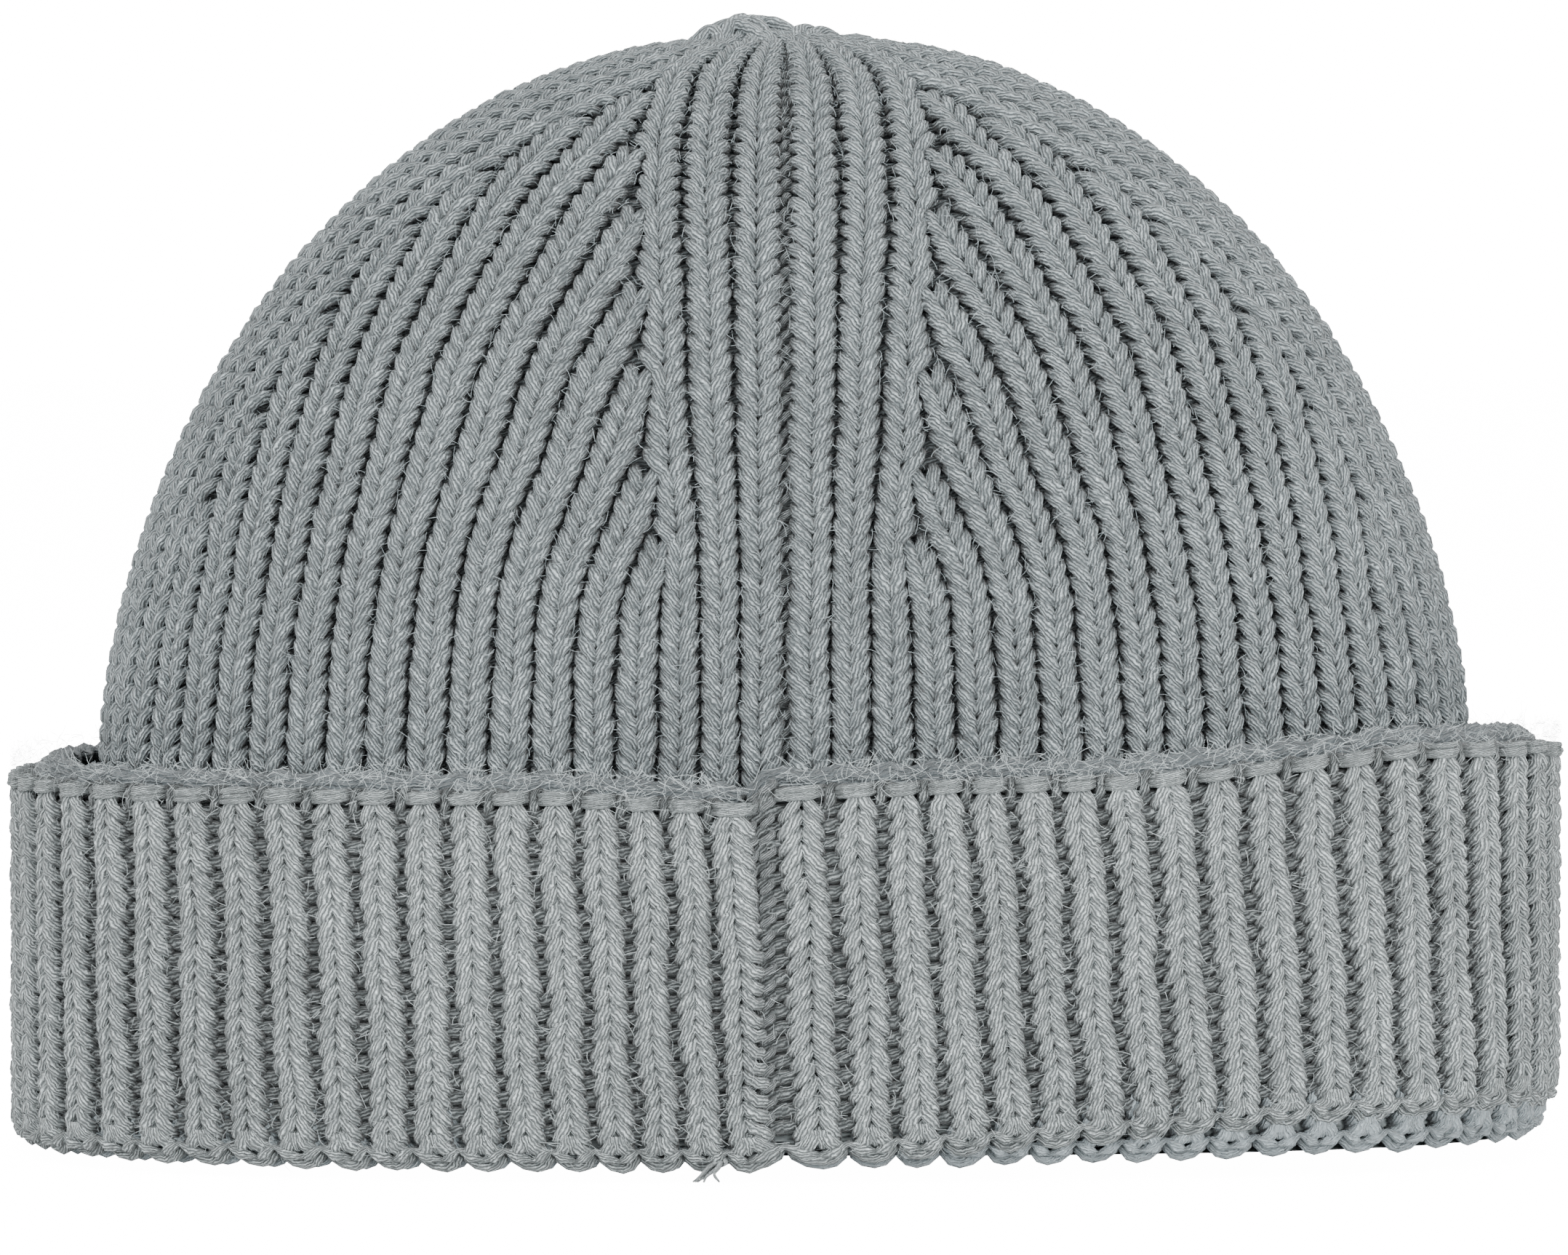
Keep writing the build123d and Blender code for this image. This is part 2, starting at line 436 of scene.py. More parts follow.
wall_low, wall_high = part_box("body_wall")
body_half = Vector(((wall_high.x - wall_low.x) / 2, (wall_high.y - wall_low.y) / 2))
dome_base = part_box("crown_sides")[0].z
dome_rise = CROWN_HEIGHT - dome_base


def dome_half(step):
    across = (1 - step ** SIDE_POWERS[0]) ** (1 / SIDE_POWERS[1])
    through = (1 - step ** FRONT_POWERS[0]) ** (1 / FRONT_POWERS[1])
    return body_half.x * across, body_half.y * through


def even_courses(grid, count):
    """The grid again with its levels evenly spaced up each of its columns."""
    step = np.linalg.norm(np.diff(grid, axis=0), axis=2)
    length = np.vstack([np.zeros(grid.shape[1]), np.cumsum(step, axis=0)])
    length /= length[-1]
    even = np.linspace(0, 1, count)
    made = np.zeros((count, grid.shape[1], 3))
    for k in range(grid.shape[1]):
        for axis in range(3):
            made[:, k, axis] = np.interp(even, length[:, k], grid[:, k, axis])
    return made


def make_body_fabric():
    """The straight wall behind the cuff, the dome, and the last courses drawn in to a knob at the top."""
    wall = np.arange(-WALL_COURSES - 1, 0, 0.5)
    wall_z = dome_base + wall / WALL_COURSES * (dome_base - wall_low.z)
    same = np.ones(len(wall))
    wall_grid = Fabric.sections(body_half.x * same, body_half.y * same, wall_z)
    step = 1 - (1 - CROWN_CUT) ** np.linspace(0, 1, 300)
    half_x, half_y = dome_half(step)
    fine = Fabric.sections(half_x, half_y, dome_base + dome_rise * step)
    dome_grid = even_courses(fine, 4 * DOME_COURSES + 1)
    last = np.array(dome_half(CROWN_CUT))
    share = np.linspace(0, 1, 4 * GATHER_COURSES + 1)[1:]
    narrow = 1 - share * (1 - GATHER_EYE)
    knob_z = dome_base + dome_rise * CROWN_CUT + GATHER_RISE * np.sin(share * np.pi / 2) ** 1.5
    knob = Fabric.sections(last[0] * narrow, last[1] * narrow, knob_z)
    knob[:, :, 0] += GATHER_SHIFT * share[:, None] ** 2
    courses = np.concatenate([wall, np.arange(4 * (DOME_COURSES + GATHER_COURSES) + 1) / 4])
    return Fabric(courses, np.concatenate([wall_grid, dome_grid, knob]))


# The cuff

cuff_low, cuff_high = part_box("cuff")
edge_low, edge_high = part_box("cast_on_edge")
CUFF_ROUND = 6 * MM  # how far up the cuff's foot is rounded
FOOT_BEND = 0.97  # less than 1, so that the foot never quite lies flat
RIDGE_INSET = 2.0 * MM  # of the inner layer's foot behind the outer one's
RIDGE_LIFT = 0.25  # of the turned-up layer's own
WEB_LOW, WEB_HIGH = 3.7 * MM, 5.2 * MM  # the heights of the fold's turn at its outer and inner edges
WEB_TUCK = 1.5 * MM  # how far it reaches into the body's wall
WEB_STEPS = 8


def cuff_lift(place, share):
    """How far the turned-up layer sits above its even position; share is 0 at its foot and 1 at its top."""
    at = from_seam(place)
    foot = np.interp(at, *LIFT_AT_FOOT)
    top = np.interp(at, *LIFT_AT_TOP)
    return foot + (top - foot) * share


def cuff_sections(last, inset):
    """Courses up to the last, their heights, and the cuff's sections there, moved in by inset."""
    courses = np.arange(-1, last + 0.01, 0.25)
    z = cuff_low.z + (courses + 1) / (CUFF_COURSES + 1) * (edge_low.z - cuff_low.z)
    foot = np.clip(1 - z / CUFF_ROUND, 0, 1)
    inset = inset + CUFF_ROUND * (1 - np.sqrt(1 - foot ** 2 * FOOT_BEND))
    return courses, z, Fabric.sections(cuff_high.x - inset, cuff_high.y - inset, z)


def make_cuff_fabric():
    """The turned-up layer, from its foot to above the cast-on edge."""
    courses, z, grid = cuff_sections(CUFF_COURSES + 4, 0)
    place = np.arange(Fabric.ROUND) / Fabric.ROUND
    grid[:, :, 2] += cuff_lift(place[None], (z / edge_high.z)[:, None])
    return Fabric(courses, grid)


def make_ridge_fabric():
    """The inner layer's foot, just inside the turned-up layer's."""
    courses, z, grid = cuff_sections(8, RIDGE_INSET)
    grid[:, :, 2] += RIDGE_LIFT * cuff_lift(np.arange(Fabric.ROUND) / Fabric.ROUND, 0)
    return Fabric(courses, grid)


def make_web_fabric():
    """The turn of the fold, from inside the foot in to the body's wall."""
    share = np.linspace(0, 1, WEB_STEPS + 1)
    outer = cuff_high - Vector((1, 1, 0)) * (RIDGE_INSET + 0.5 * CUFF_ROUND)
    half_x = outer.x + (body_half.x - WEB_TUCK - outer.x) * share
    half_y = outer.y + (body_half.y - WEB_TUCK - outer.y) * share
    z = WEB_LOW + (WEB_HIGH - WEB_LOW) * share ** 2
    return Fabric(share * WEB_STEPS, Fabric.sections(half_x, half_y, z), inset=0)


# Materials

STRANDS = 11  # seen round the yarn
DEPTH_SHADE = (-0.6, 1.75, 0.36, 1.12)  # from and to these heights in millimetres, the share of its colour left: painted shade deep in the fabric, a little painted light at the crest
TWIST = 25.0  # millimetres of yarn for one turn of a strand


class Shading:
    """A small helper that adds nodes to one material and links them."""

    def __init__(self, name):
        self.material = bpy.data.materials.new(name)
        self.material.use_nodes = True
        self.nodes = self.material.node_tree.nodes
        self.links = self.material.node_tree.links
        self.shader = self.nodes["Principled BSDF"]

    def put(self, value, socket):
        if isinstance(value, bpy.types.NodeSocket):
            self.links.new(value, socket)
        elif value is not None:
            socket.default_value = value

    def yarn_map(self):
        uv = self.nodes.new("ShaderNodeUVMap")
        uv.uv_map = "yarn"
        split = self.nodes.new("ShaderNodeSeparateXYZ")
        self.links.new(uv.outputs["UV"], split.inputs[0])
        return split.outputs["X"], split.outputs["Y"]

    def grey(self, value):
        node = self.nodes.new("ShaderNodeCombineColor")
        for socket in node.inputs[:3]:
            self.links.new(value, socket)
        return node.outputs["Color"]

    def math(self, operation, a, b=None, c=None):
        node = self.nodes.new("ShaderNodeMath")
        node.operation = operation
        for value, socket in zip((a, b, c), node.inputs):
            self.put(value, socket)
        return node.outputs[0]

    def noise(self, vector, scale, detail=2.0):
        node = self.nodes.new("ShaderNodeTexNoise")
        node.inputs["Scale"].default_value = scale
        node.inputs["Detail"].default_value = detail
        self.links.new(vector, node.inputs["Vector"])
        return node.outputs["Fac"]

    def remap(self, value, low, high, to_low, to_high):
        node = self.nodes.new("ShaderNodeMapRange")
        self.put(value, node.inputs["Value"])
        for name, number in (("From Min", low), ("From Max", high), ("To Min", to_low), ("To Max", to_high)):
            node.inputs[name].default_value = number
        return node.outputs["Result"]

    def mix(self, blend, factor, a, b):
        node = self.nodes.new("ShaderNodeMix")
        node.data_type = "RGBA"
        node.blend_type = blend
        self.put(factor, node.inputs["Factor"])
        self.put(a, node.inputs["A"])
        self.put(b, node.inputs["B"])
        return node.outputs["Result"]

    def bump(self, height, distance, strength, normal=None):
        node = self.nodes.new("ShaderNodeBump")
        node.inputs["Distance"].default_value = distance
        node.inputs["Strength"].default_value = strength
        self.links.new(height, node.inputs["Height"])
        if normal is not None:
            self.links.new(normal, node.inputs["Normal"])
        return node.outputs["Normal"]


def shade(colour, by):
    return (*(min(1.0, c * by) for c in colour), 1)


# dark and light are the shares of the colour in the painted shade between the strands and the painted
# highlight along them
def yarn_material(name, colour, dark=0.2, light=1.7):
    """Soft spun yarn: strands that wind slowly round it, uneven in colour, with a sheen of loose fibre."""
    made = Shading(name)
    shader = made.shader
    shader.inputs["Roughness"].default_value = 0.9
    shader.inputs["Sheen Weight"].default_value = 0.25
    shader.inputs["Sheen Roughness"].default_value = 0.5
    shader.inputs["Specular IOR Level"].default_value = 0.2
    along, around = made.yarn_map()
    place = made.nodes.new("ShaderNodeTexCoord").outputs["Object"]

    # the strands, which wander a little
    turned = made.math("MULTIPLY_ADD", along, 1 / TWIST, around)
    phase = made.math("MULTIPLY", turned, STRANDS * 2 * math.pi)
    wander = made.math("MULTIPLY_ADD", made.noise(place, 760, 3.0), 13.0, phase)
    strand = made.math("MULTIPLY_ADD", made.math("COSINE", wander), 0.5, 0.5)
    thick = made.math("MULTIPLY", strand, made.remap(made.noise(place, 900, 2.0), 0.36, 0.6, 0.25, 1.0))

    # its colour: painted shade between the strands and painted highlight along them, blotched, with pale
    # fibres here and there
    base = made.mix("MIX", thick, shade(colour, dark), shade(colour, light))
    blotch = made.math("MULTIPLY_ADD", made.noise(place, 34, 2.0), 0.5,
                       made.math("MULTIPLY", made.noise(place, 210, 3.0), 0.5))
    tone = made.remap(blotch, 0.35, 0.65, 0.82, 1.16)
    toned = made.mix("MULTIPLY", 1.0, base, made.grey(tone))

    # painted shade: it is darker where it lies deep in the fabric, and a little lighter where it stands out
    height = made.nodes.new("ShaderNodeAttribute")
    height.attribute_name = "height"
    painted_depth_shade = made.grey(made.remap(height.outputs["Fac"], *DEPTH_SHADE))
    made.links.new(made.mix("MULTIPLY", 1.0, toned, painted_depth_shade), shader.inputs["Base Color"])

    coarse = made.bump(thick, 0.5 * MM, 1.0)
    fine = made.bump(made.noise(place, 3200, 3.0), 0.14 * MM, 0.8, coarse)
    made.links.new(fine, shader.inputs["Normal"])
    return made.material


RIB_COLOUR = (0.326, 0.378, 0.394)
CUFF_COLOUR = (0.45, 0.505, 0.512)
SEAM_COLOUR = (0.235, 0.262, 0.268)
ROLL_AND_LIT_FOLD_COLOUR = (0.42, 0.49, 0.52)
# painted light: the tail's yarn is painted far paler than the rest of the yarn, so that it looks lit where it
# lies in the cuff's shadow
TAIL_LIT_COLOUR = (0.62, 0.68, 0.69)
rib_yarn = yarn_material("rib_yarn", RIB_COLOUR)
cuff_yarn = yarn_material("cuff_yarn", CUFF_COLOUR)
seam_yarn = yarn_material("seam_yarn", SEAM_COLOUR)
# the roll's yarn, also used on the inner layer's foot as painted light: with less painted shade between its
# strands than the cuff's yarn, it shows lighter
roll_and_lit_fold_yarn = yarn_material("roll_and_lit_fold_yarn", ROLL_AND_LIT_FOLD_COLOUR, dark=0.6, light=1.2)
lit_tail_yarn = yarn_material("lit_tail_yarn", TAIL_LIT_COLOUR, dark=0.8, light=1.2)


# The courses of each piece, and how far the legs of a stitch spread over a rib
LAST_COURSE = DOME_COURSES + GATHER_COURSES
BODY_GROUPS = ((-WALL_COURSES, -11), (-11, 0), (0, 9), (9, 18), (18, 28), (28, 38), (38, LAST_COURSE))
CUFF_GROUPS = ((3, 9), (9, 15), (15, 23))
BODY_SPREAD, CUFF_SPREAD, FOOT_SPREAD = 0.86, 0.72, 0.6
THINNER = ((30, DOME_COURSES, LAST_COURSE), (1, 0.86, 0.7))  # the yarn is pulled thinner towards the top


def knit_body(fabric):
    pieces = []
    for low, high in BODY_GROUPS:
        yarns = Yarns()
        for course in range(low, high):
            ribs, under = ribs_at(course)
            radius = YARN_RADIUS * np.interp(course, *THINNER)
            knit_course(yarns, fabric, dome_place, course, ribs, under, spread=BODY_SPREAD, radius=radius)
        pieces.append(yarns.build(f"rib_courses_{low + WALL_COURSES:02d}", rib_yarn))
    return pieces


ALL_RIBS = np.arange(RIBS)


def knit_round(yarns, fabric, course, **how):
    """A course over all the cuff's ribs."""
    knit_course(yarns, fabric, cuff_place, course, ALL_RIBS, **how)


def knit_down(yarns, fabric, course, spread=CUFF_SPREAD):
    """The same in the stretched rib, which was knitted down from the cast-on edge."""
    knit_round(yarns, fabric, course, upward=-1, spread=spread, stitch=OPEN_KNIT)


# How far out the cloth under the stitches lies, in millimetres
BODY_GROUND, CUFF_GROUND, FOOT_GROUND, FOLD_GROUND = -2.7, -2.0, -2.1, -1.6


def knit_cuff(fabric):
    pieces = []
    for low, high in CUFF_GROUPS:
        yarns = Yarns()
        for course in range(low, high):
            knit_down(yarns, fabric, course)
        pieces.append(yarns.build(f"cuff_courses_{low:02d}", cuff_yarn))
    return pieces


# The cast-on edge along the top of the cuff: a bar of stacked strands over each rib, twists between the bars,
# and the soft roll behind them
BAR = Stitch([(-0.50, 0.0, -2.6), (-0.42, -0.1, -2.0), (-0.34, -0.1, 0.3), (-0.2, -0.04, 1.3),
              (0.0, 0.0, 1.5), (0.2, 0.04, 1.3), (0.34, 0.1, 0.3), (0.42, 0.1, -2.0)],
             (0.6, 0.7, 0.9, 1.1, 1.15, 1.1, 0.9, 0.7))
TWIST_BIT = Stitch([(-0.50, 0.05, -0.5), (-0.43, 0.4, -0.9), (-0.32, 0.4, -1.9), (0.0, 0.0, -2.2),
                    (0.32, -0.35, -1.9), (0.43, -0.38, -0.9)],
                   (1.1, 0.9, 0.7, 0.7, 0.7, 0.9))
SOFT_ROLL = Stitch([(-0.50, 0.0, -2.8), (-0.25, 0.2, -2.3), (0.0, 0.0, -2.7), (0.25, -0.16, -3.1)],
                   (1.0, 1.15, 0.9, 1.1))
# Each strand's courses above the cuff's last, and its radius in millimetres
BAR_STRANDS = ((0.92, 0.42), (1.14, 0.46), (1.38, 0.42))
TWIST_STRANDS = ((0.62, 0.85), (1.12, 0.62))
# Each strand's courses above the cuff's last, and how far inwards it lies, in millimetres
ROLL_STRANDS = ((1.2, 0.2), (1.6, 0.7), (1.9, 1.5), (2.1, 2.4), (2.0, 3.4))
ROLL_RADIUS = 0.9 * MM


def knit_edge(fabric):
    bars = Yarns()
    for strands, stitch in ((BAR_STRANDS, BAR), (TWIST_STRANDS, TWIST_BIT)):
        for above, radius in strands:
            knit_round(bars, fabric, CUFF_COURSES + above, radius=radius * MM, stitch=stitch)
    roll = Yarns()
    for above, inward in ROLL_STRANDS:
        deeper = Stitch(SOFT_ROLL.path - (0, 0, inward), SOFT_ROLL.thickness)
        knit_round(roll, fabric, CUFF_COURSES + above, radius=ROLL_RADIUS, stitch=deeper)
    return [bars.build("cast_on_bars", cuff_yarn), roll.build("cast_on_roll", roll_and_lit_fold_yarn)]


# The foot of a folded layer: each rib fans out, over a row of twists and a scalloped last row
ZIGZAG = Stitch([(-0.50, 0.42, 0.3), (-0.25, 0.06, 0.9), (0.0, -0.3, 0.5), (0.25, 0.06, 0.9)],
                (0.55, 1.25, 0.55, 1.25))
SCALLOP = Stitch([(-0.50, 0.45, -1.3), (-0.40, 0.12, -0.2), (-0.22, -0.2, 0.4), (0.0, -0.34, 0.5),
                  (0.22, -0.2, 0.4), (0.40, 0.12, -0.2)],
                 (0.8, 0.95, 1.05, 1.1, 1.05, 0.95))
FAN = (-0.34, -0.18, 0.0, 0.18, 0.34)  # how far across each strand of a fan ends, in rib pitches
FAN_TOP = 1.9  # the course that the fans start from
FAN_FALL = 1.25  # courses from a fan's top to its foot
FAN_WAIST = 0.08  # how far from the rib's middle its strands start, in pitches
FAN_OUT, FAN_CURVE, FAN_TURN = 0.95, 0.2, 0.9  # millimetres out, less by its sides, and in at its foot
FAN_RADIUS, FAN_TAPER = 0.82 * MM, 0.25
ZIGZAG_FALL, ZIGZAG_RADIUS = 1.55, 0.82 * MM
SCALLOP_FALL, SCALLOP_RADIUS = 2.0, 0.86 * MM


def knit_foot(fabric):
    yarns = Yarns()
    knit_down(yarns, fabric, FAN_TOP + 0.1, FOOT_SPREAD)
    down = np.linspace(0, 1, 6)
    for lean in FAN:
        at = FAN_TOP - FAN_FALL * down[None] + 0 * ALL_RIBS[:, None]
        start = FAN_WAIST * np.sign(lean)
        across = start + (lean - start) * down ** 1.3
        out = (FAN_OUT - FAN_CURVE * abs(lean) - FAN_TURN * down ** 3) * MM
        place = spread_ribs(cuff_place, ALL_RIBS, across + 0 * at, at)
        paths = fabric.point(place, at, out + 0 * at)
        around = directions(fabric, place, at, out + 0 * at)[0]
        for path, side in zip(paths, around):
            yarns.add(path, side, FAN_RADIUS * (1 - FAN_TAPER * down))
    knit_round(yarns, fabric, FAN_TOP - ZIGZAG_FALL, radius=ZIGZAG_RADIUS, stitch=ZIGZAG)
    knit_round(yarns, fabric, FAN_TOP - SCALLOP_FALL, radius=SCALLOP_RADIUS, stitch=SCALLOP)
    return yarns


def knit_fold(cuff, ridge):
    """The turned-up layer's foot, and the inner layer's, which shows below it where it has slipped up."""
    near = knit_foot(cuff).build("cuff_foot", cuff_yarn)
    yarns = knit_foot(ridge)
    for course in (3, 4):
        knit_down(yarns, ridge, course)
    # painted light: the inner layer's foot lies in the turned-up layer's shadow, and is given the roll's
    # lighter yarn to show lighter
    far = yarns.build("fold_foot", roll_and_lit_fold_yarn)
    grounds = [make_skin("cuff_foot_ground", cuff, 0, 3, FOOT_GROUND, cuff_skin_shade),
               make_skin("fold_ground", ridge, -0.5, 5, FOLD_GROUND, cuff_skin_shade),
               make_skin("fold_turn", make_web_fabric(), 0, WEB_STEPS, 0, cuff_skin_shade)]
    return [near, far, *grounds]


# The body's lower half as it is when the cuff is turned down. At rest its courses lie packed in the fold.
PACKED_FROM, PACKED_TO = 5.4 * MM, 3.2 * MM


def pack(piece, travel):
    """Lays a piece, made as it is when it has come out of the fold, back into the fold."""
    share = np.linspace(0, 1, 400)
    packed = PACKED_FROM + (PACKED_TO - PACKED_FROM) * share
    turned = packed - travel * share ** 2 * (3 - 2 * share)
    points = np.empty(len(piece.data.vertices) * 3, np.float32)
    piece.data.vertices.foreach_get("co", points)
    z = points[2::3]
    points[2::3] = np.where(z > PACKED_FROM, z, np.interp(z, turned[::-1], packed[::-1]))
    piece.data.vertices.foreach_set("co", points)
    piece.data.update()
    return piece


def knit_turned_wall(travel):
    """The rest of the wall, that comes out of the fold as the cuff turns down, and the ground behind it."""
    last = -WALL_COURSES
    first = last - WALL_COURSES - 1
    courses = np.arange(first - 1, last + 4.01, 0.5)
    low = PACKED_TO - travel
    z = wall_low.z + (courses - last) / (last - first) * (wall_low.z - low)
    same = np.ones(len(z))
    fabric = Fabric(courses, Fabric.sections(body_half.x * same, body_half.y * same, z))
    pieces = []
    for start, stop in ((first, last - 11), (last - 11, last)):
        yarns = Yarns()
        for course in range(start, stop):
            knit_course(yarns, fabric, dome_place, course, ALL_RIBS, spread=BODY_SPREAD)
        pieces.append(yarns.build(f"turned_courses_{start - first:02d}", rib_yarn))
    pieces.append(make_skin("turned_ground", fabric, first, last + 1, BODY_GROUND, rib_skin_shade))
    return [pack(piece, travel) for piece in pieces]


# Seams, thread and tail

SEAM_HALF = 1.3 * MM  # from the middle of the cuff's seam to each of its two coils
SEAM_YARN = 0.6 * MM
COIL_STEP = 0.125  # courses from point to point of a coil
COIL_OUT = 0.8  # how far a coil swings out and in, in millimetres
COIL_UNEVEN, COIL_WAVE = 0.25, 1.7  # of its width, and radians of that to a course


def coil_seam(name, fabric, places, courses, depth, radius):
    """An overcast seam: yarn that winds up lines of the fabric, one turn to a course."""
    yarns = Yarns()
    at = np.arange(*courses, COIL_STEP)
    for k, place in enumerate(places):
        angle = 2 * np.pi * (at + k / len(places))
        swing = radius * (1 + COIL_UNEVEN * np.sin(at * COIL_WAVE + k)) * MM / CUFF_GIRTH
        out = (depth + COIL_OUT * np.cos(angle)) * MM
        path = fabric.point(place + swing * np.sin(angle), at, out)
        outwards = directions(fabric, place + 0 * at, at, out)[2]
        yarns.add(path, outwards + 0.3 * np.gradient(path, axis=0) / MM, SEAM_YARN)
    return yarns.build(name, seam_yarn)


def same_side(count, side):
    """The same side direction for every point of a short free yarn."""
    return np.tile(side, (count, 1))


THREAD_STEPS = 60
THREAD_INSET = 0.9 * MM  # the thread's middle from the CAD ring's outer edge
THREAD_YARN = 0.8 * MM
THREAD_WAVE, THREAD_WAVES = 0.2 * MM, 5


def make_thread():
    """The draw thread: a ring under the knob, a little wavy."""
    low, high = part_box("crown_draw_thread")
    middle, radius = (low + high) / 2, (high.x - low.x) / 2 - THREAD_INSET
    angle = np.linspace(0, 2 * np.pi, THREAD_STEPS, endpoint=False)
    path = np.stack([middle.x + radius * np.cos(angle), middle.y + radius * np.sin(angle),
                     middle.z + THREAD_WAVE * np.sin(THREAD_WAVES * angle)], axis=1)
    yarns = Yarns()
    yarns.add(path, same_side(THREAD_STEPS, (0.0, 0.0, 1.0)), THREAD_YARN, closed=True, sides=8)
    return yarns.build("draw_thread", seam_yarn)


def curved(points, count):
    """A smooth run of points through a few."""
    points = np.array(points, float)
    last = len(points) - 1
    fine = np.linspace(0, last, count)
    i = np.clip(fine.astype(int), 0, last - 1)
    t = (fine - i)[:, None]
    before, after = points[np.maximum(i - 1, 0)], points[np.minimum(i + 2, last)]
    a, b = points[i], points[i + 1]
    return 0.5 * (2 * a + (b - before) * t + (2 * before - 5 * a + 4 * b - after) * t ** 2
                  + (3 * a - before - 3 * b + after) * t ** 3)


# The last loops on top of the crown, in millimetres from the top of the dome's axis
KNOT_LOOPS = (((-13, -7, -3.0), (-10, -5, -0.4), (-5, -2, 0.6), (-1, 1, 0.0), (3, 3, -2.6)),
              ((-12, 1, -2.8), (-9, -3, 0.0), (-6, -6, -0.2), (-3, -9, -2.6)),
              ((-10, -9, -3.2), (-8, -5, 0.1), (-6, 1, 0.8), (-5, 6, -2.4)),
              ((-2, -9, -3.0), (-4, -4, 0.2), (-6, 2, 0.5), (-9, 6, -2.6)),
              ((3, -7, -3.0), (0, -3, -0.4), (-3, 0, 0.4), (-6, 5, -2.6)),
              ((6, -1, -3.0), (4, -2, -1.0), (2, -5, -0.9), (1, -9, -3.2)),
              ((9, -3, -3.2), (6, -4, -1.2), (4, -6, -1.4), (3, -9, -3.4)),
              ((-14, -3, -3.2), (-11.5, -5, -0.9), (-10, -7, -1.2), (-10, -10, -3.4)))
KNOT_STEPS = 24
KNOT_YARN = 1.05 * MM


def make_knots(top):
    """The last loops, pulled over each other on top of the crown."""
    yarns = Yarns()
    for loop in KNOT_LOOPS:
        path = curved(loop, KNOT_STEPS) * MM + top
        yarns.add(path, same_side(KNOT_STEPS, (0.3, 0.2, 1.0)), KNOT_YARN, sides=8)
    return yarns.build("crown_knots", rib_yarn)


# The tail: a stem that runs out under the cuff, and fibres that spread from it to the floor
TAIL_STEPS, TAIL_YARN = 24, 0.8 * MM
FIBRES, FIBRE_STEPS, FIBRE_RADIUS = 9, 10, 0.34 * MM


def make_tail():
    """The seam yarn's end, that comes out under the cuff as a small frayed tuft."""
    low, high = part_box("seam_yarn_tail")
    y = (low.y + high.y) / 2 / MM
    yarns = Yarns()
    stem = curved(((5, y, 3.6), (-2, y - 3, 3.8), (-7, y - 9, 3.6), (-9.5, y - 14, 3.0)), TAIL_STEPS) * MM
    yarns.add(stem, same_side(TAIL_STEPS, (0.0, 0.0, 1.0)), TAIL_YARN, sides=8)
    taper = np.linspace(1, 0.4, FIBRE_STEPS)
    for fibre in range(FIBRES):
        dx, dy, dz = rng.uniform(-2.4, 1.6), rng.uniform(-1.5, 1.0), rng.uniform(-1.2, 1.2)
        points = ((-9, y - 13, 3.2),
                  (-10 + dx / 3, y - 15 + dy / 2, 2.4 + dz / 2),
                  (-11 + dx / 2, y - 16.4 + dy / 2, 1.5 + dz / 3),
                  (-11 + dx, y - 17 + dy / 2, 0.6))
        path = curved(points, FIBRE_STEPS) * MM
        yarns.add(path, same_side(FIBRE_STEPS, (0.1, 0.2, 1.0)), FIBRE_RADIUS * taper, sides=5)
    return yarns.build("yarn_tail", lit_tail_yarn)


# The thin cloth under the stitches, which closes the fabric

SKIN_STEP = 0.5  # courses from row to row
SKIN_COLUMNS = 336


def make_skin(name, fabric, low, high, out, material):
    """A smooth cloth between two courses. Its map counts ribs across and courses up."""
    at = np.arange(low, high + SKIN_STEP / 2, SKIN_STEP)
    place = np.arange(SKIN_COLUMNS) / SKIN_COLUMNS
    shape = (len(at), SKIN_COLUMNS)
    places, courses = np.broadcast_to(place, shape), np.broadcast_to(at[:, None], shape)
    points = fabric.point(places, courses, np.full(shape, out * MM))
    quads = grid_quads(*shape)
    piece = make_mesh(name, points.reshape(-1, 3), quads.reshape(-1, 4), material)
    layer = piece.data.uv_layers.new(name="yarn")
    i, j = np.arange(len(at) - 1), np.arange(SKIN_COLUMNS)
    u = np.stack([j, j + 1, j + 1, j], -1)[None] / SKIN_COLUMNS * RIBS
    v = np.stack([i, i, i + 1, i + 1], -1)[:, None] * SKIN_STEP
    layer.data.foreach_set("uv", np.stack(np.broadcast_arrays(u, v), -1).astype(np.float32).ravel())
    return piece


# Loose fibres, in millimetres
HAIR_STEPS = 5
HAIR_REACH, HAIR_BEND = (0.6, 2.6), 0.9
HAIR_ROOT = (0.4, 1.5)  # out from the fabric's middle surface
HAIR_RISE = (0.0, 1.3)  # further out from there
HAIR_WIDTH = (0.014, 0.028)  # halved
HAIR_GIRTH, HAIR_COURSE = 500, 2.6  # what its reach is measured against
HAIR_SCATTER = 0.004  # about a rib's middle, as a share of the way round


